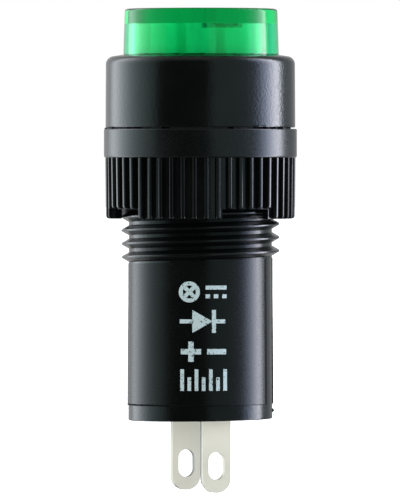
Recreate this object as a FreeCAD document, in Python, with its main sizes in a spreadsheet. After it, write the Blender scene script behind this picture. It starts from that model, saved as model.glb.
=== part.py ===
import FreeCAD, Part
import math
import os

import Sketcher

# Panel pilot light for a 12 mm hole: a moulded bezel and threaded barrel with a clear green lens,
# a knurled ring nut with four notches, and two solder tabs below.
# The origin is on the axis in the panel plane, under the bezel. +Z runs up to the lens.

# Driving dimensions in millimetres, degrees or counts
SIZES = {
    # Panel hole and thread
    "panel_hole": 12.0,
    "hole_play": 0.2,
    "thread_pitch": 1.0,
    "thread_turns": 9.4,
    "thread_depth": 0.555,
    "thread_flank": 30,
    # Bezel and lens socket
    "bezel_height": 5.41,
    "bezel_overhang": 1.18,
    "bezel_wall": 1.2,
    "bezel_slope": 0.18,
    "bezel_round": 0.5,
    "bezel_lip": 0.43,
    "socket_web": 0.6,
    # Barrel
    "barrel_length": 21.78,
    "barrel_wall": 0.9,
    "barrel_chamfer": 0.12,
    # Lens and diffuser
    "lens_stand": 3.44,
    "lens_slab": 1.15,
    "lens_wall": 0.8,
    "lens_chamfer": 0.15,
    "lens_play": 0.08,
    "lens_lift": 0.3,
    "diffuser_play": 0.1,
    "diffuser_wall": 0.6,
    "rim_step": 0.18,
    "rim_step_width": 0.5,
    "rim_step_start_degrees": -89,
    "rim_step_degrees": 32,
    # Gasket and the seam that shows between bezel and nut
    "gasket_thickness": 0.5,
    "gasket_play": 0.05,
    "seam": 0.1,
    # Knurled nut
    "nut_height": 6.7,
    "nut_play": 0.08,
    "nut_flange": 1.3,
    "nut_chamfer": 0.15,
    "band_height": 2.16,
    "rib_count": 50,
    "rib_turn": 4.7,
    "rib_inset": 0.1,
    "rib_depth": 0.45,
    "rib_width": 0.3,
    "rib_draft": 0.05,
    "rib_chamfer": 0.2,
    "notch_count": 4,
    "notch_depth": 0.75,
    "notch_width": 4.0,
    "notch_turn": -58.5,
    # Printed film round the barrel
    "film_thickness": 0.04,
    "film_play": 0.01,
    "film_start_degrees": -10,
    "film_degrees": 344.5,
    "film_gap": 0.05,
    "film_margin": 1.13,
    # Rear plug and its snap hook
    "plug_height": 3.0,
    "plug_play": 0.03,
    "plug_recess": 0.1,
    "hook_rise": 0.68,
    "hook_height": 0.37,
    "hook_width": 0.7,
    "hook_reach": 0.2,
    # Solder tabs
    "tab_turn": 22,
    "tab_inset": 1.465,
    "tab_width": 2.2,
    "tab_thickness": 0.45,
    "tab_reach": 5.37,
    "tab_corner": 1.05,
    "eye_width": 1.25,
    "eye_length": 2.05,
    "eye_from_tip": 2.0,
    "shoulder": 0.35,
    "lug_rise": 1.2,
    "lug_edge": 0.7,
    # Lamp and its wiring
    "holder_flange": 0.8,
    "holder_depth": 4.0,
    "led_diameter": 5.0,
    "led_height": 8.6,
    "led_flange": 0.4,
    "led_flange_height": 1.0,
    "led_play": 0.05,
    "lead_spacing": 2.54,
    "lead_width": 0.5,
    "resistor_length": 5.6,
    "resistor_diameter": 2.3,
    "wire_diameter": 0.5,
    "insulation": 0.2,
    "solder_length": 0.8,
    "solder_wall": 0.2,
}

# Straight steps in a turned quarter round
ROUND_STEPS = 4

# Places worked out from the driving dimensions, each from those above it
PLACES = {
    "thread_radius": "(sizes.panel_hole - sizes.hole_play) / 2",
    "root_radius": "thread_radius - sizes.thread_depth",
    "thread_end": "-sizes.thread_turns * sizes.thread_pitch",
    "thread_foot": "thread_end - sizes.thread_depth * tan(sizes.thread_flank)",
    "bezel_radius": "thread_radius + sizes.bezel_overhang",
    "socket_radius": "bezel_radius - sizes.bezel_wall",
    "recess_radius": "bezel_radius - sizes.bezel_lip",
    "recess_top": "sizes.gasket_thickness - sizes.seam",
    "socket_floor": "recess_top + sizes.socket_web",
    "bezel_edge": "sizes.bezel_height - sizes.bezel_slope",
    "barrel_end": "-sizes.barrel_length",
    "bore_radius": "root_radius - sizes.barrel_wall",
    "film_top": "thread_foot - sizes.film_gap",
    "film_bottom": "barrel_end + sizes.film_margin",
    "film_inside": "root_radius + sizes.film_play",
    "lens_radius": "socket_radius - sizes.lens_play",
    "lens_top": "sizes.bezel_height + sizes.lens_stand",
    "lens_foot": "socket_floor + sizes.holder_flange + sizes.lens_lift",
    "lens_inside": "lens_radius - sizes.lens_wall",
    "slab_under": "lens_top - sizes.lens_slab",
    "diffuser_radius": "lens_inside - sizes.diffuser_play",
    "diffuser_foot": "socket_floor + sizes.holder_flange",
    "gasket_inside": "thread_radius + sizes.gasket_play",
    "gasket_radius": "recess_radius - sizes.gasket_play",
    "nut_top": "-sizes.seam",
    "nut_bottom": "nut_top - sizes.nut_height",
    "band_bottom": "nut_top - sizes.band_height",
    "nut_bore": "thread_radius + sizes.nut_play",
    "nut_radius": "thread_radius + sizes.nut_flange",
    "rib_radius": "nut_radius - sizes.rib_inset",
    "knurl_root": "rib_radius - sizes.rib_depth",
    "plug_bottom": "barrel_end + sizes.plug_recess",
    "plug_top": "barrel_end + sizes.plug_height",
    "plug_radius": "bore_radius - sizes.plug_play",
    "hook_place": "barrel_end + sizes.hook_rise",
    "hook_tip": "root_radius + sizes.hook_reach",
    "tab_place": "bore_radius - sizes.tab_inset",
    "tab_tip": "barrel_end - sizes.tab_reach",
    "eye_place": "tab_tip + sizes.eye_from_tip",
    "lug_top": "plug_top + sizes.lug_rise",
    "lug_under": "lug_top - sizes.tab_thickness",
    "lead_place": "sizes.lead_spacing / 2",
    "holder_bottom": "socket_floor - sizes.holder_depth",
    "led_base": "holder_bottom - sizes.led_flange_height",
    "lead_run": "(led_base - lug_top - sizes.resistor_length) / 2",
    "splice": "led_base - lead_run / 2",
    "lug_joint": "lug_top + sizes.solder_length / 2",
    "resistor_top": "led_base - lead_run",
    "resistor_bottom": "resistor_top - sizes.resistor_length",
    "wire_radius": "sizes.wire_diameter / 2",
}

doc = FreeCAD.newDocument("pilot_light")
sheet = doc.addObject("Spreadsheet::Sheet", "sizes")
places = doc.addObject("Spreadsheet::Sheet", "places")


def fill_sheets():
    """Writes the driving dimensions and the places, each with its name beside it as an alias."""
    for row, (name, number) in enumerate(SIZES.items(), start=1):
        sheet.set(f"A{row}", name)
        sheet.set(f"B{row}", str(number))
        sheet.setAlias(f"B{row}", name)
    for row, (name, formula) in enumerate(PLACES.items(), start=1):
        places.set(f"A{row}", name)
        places.set(f"B{row}", "=" + formula)
        places.setAlias(f"B{row}", name)
    doc.recompute()


def number(expression):
    """The value of an expression on the sheets."""
    result = places.evalExpression(expression)
    return float(getattr(result, "Value", result))


def new_body(name):
    """An empty body whose label is the name of its piece."""
    body = doc.addObject("PartDesign::Body", name)
    body.Label = name
    return body


def new_sketch(body, name, plane, height=None, turn=None):
    """A sketch on an origin plane of its body, raised to a height or turned about the Z axis."""
    sketch = body.newObject("Sketcher::SketchObject", f"{body.Name}_{name}")
    base = [item for item in body.Origin.OriginFeatures if item.Role == plane][0]
    sketch.AttachmentSupport = (base, [""])
    sketch.MapMode = "FlatFace"
    if plane == "XZ_Plane":
        sketch.AttachmentOffset = FreeCAD.Placement(
            FreeCAD.Vector(0, 0, 0), FreeCAD.Rotation(FreeCAD.Vector(0, 1, 0), 1))
    if height is not None:
        sketch.setExpression("AttachmentOffset.Base.z", height)
    sketch.setExpression("AttachmentOffset.Rotation.Angle", turn or "0")
    return sketch


def draw_outline(sketch, corners):
    """Draws a closed outline through corners, each a pair of expressions (across, up)."""
    points = [FreeCAD.Vector(number(across), number(up), 0) for across, up in corners]
    last = len(points) - 1
    for start, end in zip(points, points[1:] + points[:1]):
        sketch.addGeometry(Part.LineSegment(start, end), False)
    for line in range(len(points)):
        following = 0 if line == last else line + 1
        sketch.addConstraint(Sketcher.Constraint("Coincident", line, 2, following, 1))
    for line, corner in enumerate(corners):
        for kind, expression in zip(("DistanceX", "DistanceY"), corner):
            held = Sketcher.Constraint(kind, -1, 1, line, 1, number(expression))
            index = sketch.addConstraint(held)
            sketch.setExpression(f"Constraints[{index}]", expression)


def quarter_round(across, up, radius):
    """Corners of a quarter round in short steps, from its level end to its upright end."""
    corners = []
    for step in range(ROUND_STEPS + 1):
        turn = f"{90 * step / ROUND_STEPS}"
        corners.append((f"{across} - {radius} * (1 - sin({turn}))",
                        f"{up} - {radius} * (1 - cos({turn}))"))
    return corners


def draw_box(sketch, left, right, low, high):
    """Draws a rectangle between four expressions."""
    draw_outline(sketch, [(left, low), (right, low), (right, high), (left, high)])


def turn_solid(body, name, corners, kind="Revolution", angle="360", turn=None):
    """Turns an outline in the plane of the axis about Z, as a solid or as a groove."""
    sketch = new_sketch(body, name + "_outline", "XZ_Plane", turn=turn)
    draw_outline(sketch, corners)
    feature = body.newObject("PartDesign::" + kind, f"{body.Name}_{name}")
    feature.Profile = sketch
    feature.ReferenceAxis = (sketch, ["V_Axis"])
    feature.setExpression("Angle", angle)
    return settle(body, feature)


def extrude(body, name, sketch, length, kind="Pad", both_ways=False, reverse=False):
    """Pads or pockets a sketch by a length."""
    feature = body.newObject("PartDesign::" + kind, f"{body.Name}_{name}")
    feature.Profile = sketch
    feature.setExpression("Length", length)
    feature.Midplane = both_ways
    feature.Reversed = reverse
    return settle(body, feature)


def settle(body, feature):
    """Computes a new feature, and refuses one that fails or leaves its body's volume unchanged."""
    before = feature.BaseFeature.Shape.Volume if feature.BaseFeature else 0.0
    doc.recompute()
    check(feature)
    if abs(feature.Shape.Volume - before) < 1e-6:
        raise RuntimeError(f"{feature.Name} changes nothing")
    return feature


def check(item):
    """Refuses an object that failed or has no sound shape."""
    if {"Invalid", "Error"} & set(item.State):
        raise RuntimeError(f"{item.Name} failed: {item.State}")
    if item.Shape.isNull() or not item.Shape.isValid():
        raise RuntimeError(f"{item.Name} has no valid shape")


def repeat(body, name, feature, count):
    """Repeats a feature evenly all round the Z axis."""
    axis = [item for item in body.Origin.OriginFeatures if item.Role == "Z_Axis"][0]
    pattern = body.newObject("PartDesign::PolarPattern", f"{body.Name}_{name}")
    pattern.Originals = [feature]
    pattern.Axis = (axis, [""])
    pattern.Angle = 360
    pattern.setExpression("Occurrences", f"round({count})")
    body.Tip = pattern
    return settle(body, pattern)


def set_place(item, across="0", depth="0", height="0", turn="0"):
    """Places an object by expressions for its three coordinates and its turn about Z."""
    item.Placement = FreeCAD.Placement(
        FreeCAD.Vector(0, 0, 0), FreeCAD.Rotation(FreeCAD.Vector(0, 0, 1), 1))
    item.setExpression("Placement.Base.x", across)
    item.setExpression("Placement.Base.y", depth)
    item.setExpression("Placement.Base.z", height)
    item.setExpression("Placement.Rotation.Angle", turn)


def wire_place(side):
    """Across and depth of the wiring line on the front (1) or the rear (-1) side of the axis."""
    across = f"{side} * places.lead_place * sin(sizes.tab_turn)"
    depth = f"{-side} * places.lead_place * cos(sizes.tab_turn)"
    return across, depth


def make_housing():
    """Bezel, lens socket, threaded barrel and plain barrel, moulded as one piece."""
    body = new_body("housing")
    turn_solid(body, "form", [
        ("places.socket_radius", "sizes.bezel_height"),
        *quarter_round("places.bezel_radius", "places.bezel_edge", "sizes.bezel_round"),
        ("places.bezel_radius", "0"),
        ("places.recess_radius", "0"),
        ("places.recess_radius", "places.recess_top"),
        ("places.thread_radius", "places.recess_top"),
        ("places.thread_radius", "places.thread_end"),
        ("places.root_radius", "places.thread_foot"),
        ("places.root_radius", "places.barrel_end + sizes.barrel_chamfer"),
        ("places.root_radius - sizes.barrel_chamfer", "places.barrel_end"),
        ("places.bore_radius", "places.barrel_end"),
        ("places.bore_radius", "places.socket_floor"),
        ("places.socket_radius", "places.socket_floor"),
    ])
    window = new_sketch(body, "window_outline", "YZ_Plane")
    half = "(sizes.hook_width / 2 + sizes.plug_play)"
    rise = "(sizes.hook_height / 2 + sizes.plug_play)"
    draw_box(window, "-" + half, half, "places.hook_place - " + rise, "places.hook_place + " + rise)
    extrude(body, "window", window, "places.hook_tip", kind="Pocket", reverse=True)
    return body


def make_lens():
    """Clear green cap with a thick top and a skirt that seats in the socket."""
    body = new_body("lens")
    turn_solid(body, "form", [
        ("0", "places.lens_top"),
        ("places.lens_radius - sizes.lens_chamfer", "places.lens_top"),
        ("places.lens_radius", "places.lens_top - sizes.lens_chamfer"),
        ("places.lens_radius", "places.lens_foot"),
        ("places.lens_inside", "places.lens_foot"),
        ("places.lens_inside", "places.slab_under"),
        ("0", "places.slab_under"),
    ])
    return body


def make_diffuser():
    """White cup that stands on the lamp holder under the lens, with a lower stretch of rim."""
    body = new_body("diffuser")
    inside = "places.diffuser_radius - sizes.diffuser_wall"
    turn_solid(body, "form", [
        ("0", "places.slab_under"),
        ("places.diffuser_radius", "places.slab_under"),
        ("places.diffuser_radius", "places.diffuser_foot"),
        (inside, "places.diffuser_foot"),
        (inside, "places.slab_under - sizes.diffuser_wall"),
        ("0", "places.slab_under - sizes.diffuser_wall"),
    ])
    turn_solid(body, "rim_step", [
        ("places.diffuser_radius - sizes.rim_step_width", "places.slab_under - sizes.rim_step"),
        ("places.lens_inside", "places.slab_under - sizes.rim_step"),
        ("places.lens_inside", "places.slab_under"),
        ("places.diffuser_radius - sizes.rim_step_width", "places.slab_under"),
    ], kind="Groove", angle="sizes.rim_step_degrees", turn="sizes.rim_step_start_degrees")
    return body


def make_film():
    """Thin printed film wrapped round the plain barrel, open along one strip."""
    body = new_body("printed_film")
    outside = "places.film_inside + sizes.film_thickness"
    turn_solid(body, "form", [
        ("places.film_inside", "places.film_top"),
        (outside, "places.film_top"),
        (outside, "places.film_bottom"),
        ("places.film_inside", "places.film_bottom"),
    ], angle="sizes.film_degrees", turn="sizes.film_start_degrees")
    return body


def make_gasket():
    """Flat rubber ring in the recess under the bezel."""
    body = new_body("panel_gasket")
    turn_solid(body, "form", [
        ("places.gasket_inside", "places.nut_top"),
        ("places.gasket_radius", "places.nut_top"),
        ("places.gasket_radius", "places.recess_top"),
        ("places.gasket_inside", "places.recess_top"),
    ])
    return body


def make_nut():
    """Ring nut: plain band above a knurled skirt with four notches, on the barrel's thread."""
    body = new_body("knurled_nut")
    turn_solid(body, "form", [
        ("places.nut_bore", "places.nut_top"),
        ("places.nut_radius - sizes.nut_chamfer", "places.nut_top"),
        ("places.nut_radius", "places.nut_top - sizes.nut_chamfer"),
        ("places.nut_radius", "places.band_bottom"),
        ("places.knurl_root", "places.band_bottom"),
        ("places.knurl_root", "places.nut_bottom"),
        ("places.nut_bore", "places.nut_bottom"),
    ])
    add_ribs(body)
    cut_notches(body)
    return body


def add_ribs(body):
    """Flat-topped ribs round the skirt, drawn in a little and chamfered at their lower ends."""
    foot = "places.knurl_root - sizes.rib_depth / 4"
    low_radius = "places.rib_radius - sizes.rib_draft"
    rib = new_sketch(body, "rib_outline", "XZ_Plane", turn="sizes.rib_turn - 90")
    draw_outline(rib, [
        (foot, "places.band_bottom + sizes.rib_inset"),
        ("places.rib_radius", "places.band_bottom + sizes.rib_inset"),
        (low_radius, "places.nut_bottom + sizes.rib_chamfer"),
        (low_radius + " - sizes.rib_chamfer", "places.nut_bottom"),
        (foot, "places.nut_bottom"),
    ])
    first = extrude(body, "rib", rib, "sizes.rib_width", both_ways=True)
    repeat(body, "ribs", first, "sizes.rib_count")


def cut_notches(body):
    """Notches for a spanner across the lower edge of the nut."""
    notch = new_sketch(body, "notch_outline", "XY_Plane", height="places.nut_bottom",
                       turn="sizes.notch_turn")
    draw_box(notch, "0", "places.nut_radius", "-sizes.notch_width / 2", "sizes.notch_width / 2")
    first = extrude(body, "notch", notch, "sizes.notch_depth", kind="Pocket", reverse=True)
    repeat(body, "notches", first, "sizes.notch_count")


def make_plug():
    """Disc that closes the barrel and carries the tabs, with a hook through the barrel's window."""
    body = new_body("rear_plug")
    turn_solid(body, "form", [
        ("0", "places.plug_bottom"),
        ("places.plug_radius", "places.plug_bottom"),
        ("places.plug_radius", "places.plug_top"),
        ("0", "places.plug_top"),
    ])
    hook = new_sketch(body, "hook_outline", "XZ_Plane")
    draw_outline(hook, [
        ("places.plug_radius - sizes.hook_reach", "places.hook_place - sizes.hook_height / 2"),
        ("places.root_radius", "places.hook_place - sizes.hook_height / 2"),
        ("places.hook_tip", "places.hook_place"),
        ("places.root_radius", "places.hook_place + sizes.hook_height / 2"),
        ("places.plug_radius - sizes.hook_reach", "places.hook_place + sizes.hook_height / 2"),
    ])
    extrude(body, "hook", hook, "sizes.hook_width", both_ways=True)
    half_width = "(sizes.tab_width / 2 + sizes.plug_play)"
    half_depth = "(sizes.tab_thickness / 2 + sizes.plug_play)"
    slot = new_sketch(body, "slot_outline", "XY_Plane", height="places.plug_bottom",
                      turn="sizes.tab_turn")
    draw_box(slot, "-" + half_width, half_width,
             "places.tab_place - " + half_depth, "places.tab_place + " + half_depth)
    first = extrude(body, "slot", slot, "sizes.plug_height", kind="Pocket", reverse=True)
    repeat(body, "slots", first, "2")
    return body


def make_terminal(name, turn):
    """Flat solder tab with rounded corners, an eye, shoulders on the plug and a lug for the wire."""
    body = new_body(name)
    half = "sizes.tab_width / 2"
    wide = "(sizes.tab_width / 2 + sizes.shoulder)"
    blade = new_sketch(body, "blade_outline", "XZ_Plane")
    draw_outline(blade, [
        ("-" + half, "places.tab_tip"),
        (half, "places.tab_tip"),
        (half, "places.plug_top"),
        (wide, "places.plug_top"),
        (wide, "places.lug_top"),
        ("-" + wide, "places.lug_top"),
        ("-" + wide, "places.plug_top"),
        ("-" + half, "places.plug_top"),
    ])
    blade.setExpression("AttachmentOffset.Base.z", "places.tab_place")
    extrude(body, "blade", blade, "sizes.tab_thickness", both_ways=True)
    lug = new_sketch(body, "lug_outline", "XY_Plane", height="places.lug_under")
    draw_box(lug, "-" + wide, wide, "-places.tab_place", "-places.lead_place + sizes.lug_edge")
    extrude(body, "lug", lug, "sizes.tab_thickness")
    round_tip(body)
    cut_eye(body)
    set_place(body, turn=turn)
    return body


def round_tip(body):
    """Rounds the two lower corners of a tab."""
    base = body.Tip
    edges = []
    for index, edge in enumerate(base.Shape.Edges, start=1):
        ends = [vertex.Point for vertex in edge.Vertexes]
        level = all(abs(point.z - number("places.tab_tip")) < 1e-4 for point in ends)
        if level and abs(ends[0].x - ends[1].x) < 1e-4:
            edges.append(f"Edge{index}")
    fillet = body.newObject("PartDesign::Fillet", f"{body.Name}_tip_round")
    fillet.Base = (base, edges)
    fillet.setExpression("Radius", "sizes.tab_corner")
    settle(body, fillet)


def cut_eye(body):
    """Round-ended eye near the tip of a tab."""
    eye = new_sketch(body, "eye_outline", "XZ_Plane")
    radius = number("sizes.eye_width / 2")
    reach = number("(sizes.eye_length - sizes.eye_width) / 2")
    middle = number("places.eye_place")
    up = FreeCAD.Vector(0, 0, 1)
    for side in (1, -1):
        centre = FreeCAD.Vector(0, middle + side * reach, 0)
        begin = 0 if side > 0 else math.pi
        circle = Part.Circle(centre, up, radius)
        eye.addGeometry(Part.ArcOfCircle(circle, begin, begin + math.pi), False)
    for side in (-1, 1):
        low = FreeCAD.Vector(side * radius, middle - reach, 0)
        high = FreeCAD.Vector(side * radius, middle + reach, 0)
        eye.addGeometry(Part.LineSegment(low, high), False)
    upper, lower, left, right = 0, 1, 2, 3
    eye.addConstraint([
        Sketcher.Constraint("Tangent", upper, 1, right, 2),
        Sketcher.Constraint("Tangent", upper, 2, left, 2),
        Sketcher.Constraint("Tangent", lower, 1, left, 1),
        Sketcher.Constraint("Tangent", lower, 2, right, 1),
        Sketcher.Constraint("PointOnObject", upper, 3, -2),
        Sketcher.Constraint("PointOnObject", lower, 3, -2),
    ])
    width = eye.addConstraint(Sketcher.Constraint("Radius", upper, radius))
    eye.setExpression(f"Constraints[{width}]", "sizes.eye_width / 2")
    for arc, sign in ((upper, "+"), (lower, "-")):
        place = f"places.eye_place {sign} (sizes.eye_length - sizes.eye_width) / 2"
        held = Sketcher.Constraint("DistanceY", -1, 1, arc, 3, number(place))
        index = eye.addConstraint(held)
        eye.setExpression(f"Constraints[{index}]", place)
    extrude(body, "eye", eye, "4 * places.thread_radius", kind="Pocket", both_ways=True)


def make_holder():
    """Flanged bush that stands on the socket floor and holds the lamp."""
    body = new_body("led_holder")
    bore = "sizes.led_diameter / 2 + sizes.led_play"
    turn_solid(body, "form", [
        (bore, "places.diffuser_foot"),
        ("places.socket_radius - sizes.lens_play", "places.diffuser_foot"),
        ("places.socket_radius - sizes.lens_play", "places.socket_floor"),
        ("places.bore_radius - sizes.plug_play", "places.socket_floor"),
        ("places.bore_radius - sizes.plug_play", "places.holder_bottom"),
        (bore, "places.holder_bottom"),
    ])
    return body


def make_led():
    """Flat-topped lamp: a flange under the holder and a round body through it."""
    body = new_body("led_body")
    radius = "sizes.led_diameter / 2"
    turn_solid(body, "form", [
        ("0", "places.led_base"),
        (radius + " + sizes.led_flange", "places.led_base"),
        (radius + " + sizes.led_flange", "places.holder_bottom"),
        (radius, "places.holder_bottom"),
        (radius, "places.led_base + sizes.led_height"),
        ("0", "places.led_base + sizes.led_height"),
    ])
    return body


def make_led_lead(name, side):
    """Square lamp lead from the lamp down to its splice."""
    lead = doc.addObject("Part::Box", name)
    lead.Label = name
    lead.setExpression("Length", "sizes.lead_width")
    lead.setExpression("Width", "sizes.lead_width")
    lead.setExpression("Height", "places.led_base - places.splice - sizes.solder_length / 2")
    corner = "sizes.lead_width / 2"
    turn = "sizes.tab_turn"
    offset = f"({side} * places.lead_place + {corner})"
    across = f"-{corner} * cos({turn}) + {offset} * sin({turn})"
    depth = f"-{corner} * sin({turn}) - {offset} * cos({turn})"
    set_place(lead, across, depth, "places.splice + sizes.solder_length / 2", turn)
    return lead


def make_wire(name, side, top, bottom, radius="places.wire_radius"):
    """Straight round wire between two heights on one side of the axis."""
    wire = doc.addObject("Part::Cylinder", name)
    wire.Label = name
    wire.setExpression("Radius", radius)
    wire.setExpression("Height", f"({top}) - ({bottom})")
    across, depth = wire_place(side)
    set_place(wire, across, depth, bottom)
    return wire


def make_splice(name, side):
    """Solder drop between the ends of a lamp lead and the wire below it."""
    middle = "places.splice"
    half = "sizes.solder_length / 2"
    radius = "places.wire_radius + sizes.solder_wall"
    return make_wire(name, side, f"{middle} + {half}", f"{middle} - {half}", radius)


def make_lug_joint(name, side):
    """Solder drop on a lug, under the end of a wire."""
    radius = "places.wire_radius + sizes.solder_wall"
    return make_wire(name, side, "places.lug_joint", "places.lug_top", radius)


def make_pieces():
    """Builds every piece of the light, from the front to the tabs."""
    below_splice = "places.splice - sizes.solder_length / 2"
    pieces = [
        make_lens(),
        make_diffuser(),
        make_housing(),
        make_film(),
        make_gasket(),
        make_nut(),
        make_plug(),
        make_terminal("front_terminal", "sizes.tab_turn"),
        make_terminal("rear_terminal", "sizes.tab_turn + 180"),
        make_holder(),
        make_led(),
        make_led_lead("anode_lead", 1),
        make_led_lead("cathode_lead", -1),
        make_wire("resistor_body", 1, "places.resistor_top", "places.resistor_bottom",
                  "sizes.resistor_diameter / 2"),
        make_wire("resistor_upper_lead", 1, below_splice, "places.resistor_top"),
        make_wire("resistor_lower_lead", 1, "places.resistor_bottom", "places.lug_joint"),
        make_wire("return_wire", -1, below_splice, "places.lug_joint",
                  "places.wire_radius + sizes.insulation"),
        make_splice("anode_solder", 1),
        make_splice("cathode_solder", -1),
        make_lug_joint("front_lug_solder", 1),
        make_lug_joint("rear_lug_solder", -1),
    ]
    return pieces


def write_pieces(pieces):
    """Checks every object of the document and writes each piece to its own file."""
    doc.recompute()
    for item in doc.Objects:
        if {"Invalid", "Error"} & set(item.State):
            raise RuntimeError(f"{item.Name} failed: {item.State}")
    for piece in pieces:
        check(piece)
    os.makedirs("parts", exist_ok=True)
    for piece in pieces:
        piece.Shape.exportStep(f"parts/{piece.Label}.step")
        print(piece.Label, "solids", len(piece.Shape.Solids), "volume", round(piece.Shape.Volume, 3))


fill_sheets()
write_pieces(make_pieces())
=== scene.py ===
import math

import bmesh
import bpy
from mathutils import Matrix, Vector


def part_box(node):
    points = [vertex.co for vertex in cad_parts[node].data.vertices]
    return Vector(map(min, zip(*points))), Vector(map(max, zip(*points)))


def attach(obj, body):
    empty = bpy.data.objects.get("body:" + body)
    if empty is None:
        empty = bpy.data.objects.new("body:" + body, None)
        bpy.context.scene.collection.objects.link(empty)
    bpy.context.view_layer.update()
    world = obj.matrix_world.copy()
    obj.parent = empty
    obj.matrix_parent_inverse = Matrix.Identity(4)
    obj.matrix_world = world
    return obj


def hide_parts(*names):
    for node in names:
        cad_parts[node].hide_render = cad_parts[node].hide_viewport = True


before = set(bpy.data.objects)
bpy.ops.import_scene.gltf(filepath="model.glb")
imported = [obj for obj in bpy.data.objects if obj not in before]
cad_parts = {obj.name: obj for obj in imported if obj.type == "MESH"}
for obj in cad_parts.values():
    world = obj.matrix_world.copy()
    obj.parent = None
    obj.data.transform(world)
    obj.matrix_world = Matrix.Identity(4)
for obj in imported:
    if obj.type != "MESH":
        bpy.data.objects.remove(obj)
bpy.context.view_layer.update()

bl_info = {
    "name": "Panel Pilot Light",
    "version": (1, 0, 0),
    "blender": (4, 5, 0),
    "location": "3D View > Sidebar > Pilot Light",
    "description": "Models and finishes a panel pilot light and sets up its studio",
    "category": "Add Mesh",
}

MM = 0.001

# Steps round a turned piece, how near two points count as one, and what bends gently
SEGMENTS = 192
POLE = 0.001 * MM
NEAR = 0.01 * MM
SMOOTH_UNDER = math.radians(35)

# Directions on the object, as the viewer sees them
RIGHT = (1, 0, 0)
NEARER = (0, -1, 0)
UP = (0, 0, 1)

# How far noise spreads, and the narrower range that clouds a colour
NOISE_RANGE = (0.3, 0.7)
CLOUD_RANGE = (0.35, 0.65)

# Bodies that the pieces ride on
LIGHT = "light"
GASKET = "gasket"
NUT = "nut"


def round_node(node):
    """Outer radius, lowest height and highest height of a round CAD node."""
    low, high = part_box(node)
    return high.y, low.z, high.z


BEZEL_RADIUS, BARREL_END, BEZEL_TOP = round_node("housing")
LENS_RADIUS, LENS_FOOT, LENS_TOP = round_node("lens")
FILM_RADIUS, FILM_FOOT, FILM_TOP = round_node("printed_film")
NUT_RADIUS, NUT_FOOT, NUT_TOP = round_node("knurled_nut")
GASKET_RADIUS, GASKET_FOOT, GASKET_TOP = round_node("panel_gasket")
DIFFUSER_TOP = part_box("diffuser")[1].z
PLUG_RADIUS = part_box("rear_plug")[1].y
TAB_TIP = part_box("front_terminal")[0].z

# Tabs: turn, distance from the axis, how much wider than the source's, and their eyes
TAB_TURN = math.radians(22)
TAB_MIDDLE = 2.98 * MM
TAB_STRETCH = 1.018
EYE_HEIGHT = -25.15 * MM
EYE_RADIUS = 0.635 * MM
EYE_STRETCH = 0.4 * MM


def length(name, description, default):
    """A length in the sidebar, in metres."""
    return bpy.props.FloatProperty(name=name, description=description, default=default,
                                   unit="LENGTH", subtype="DISTANCE", precision=5)


def turn(name, description, default):
    """An angle in the sidebar, given here in degrees."""
    return bpy.props.FloatProperty(name=name, description=description,
                                   default=math.radians(default), unit="ROTATION",
                                   subtype="ANGLE")


def colour(name, description, default):
    """A colour in the sidebar."""
    return bpy.props.FloatVectorProperty(name=name, description=description, default=default,
                                         size=3, min=0, max=1, subtype="COLOR")


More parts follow.
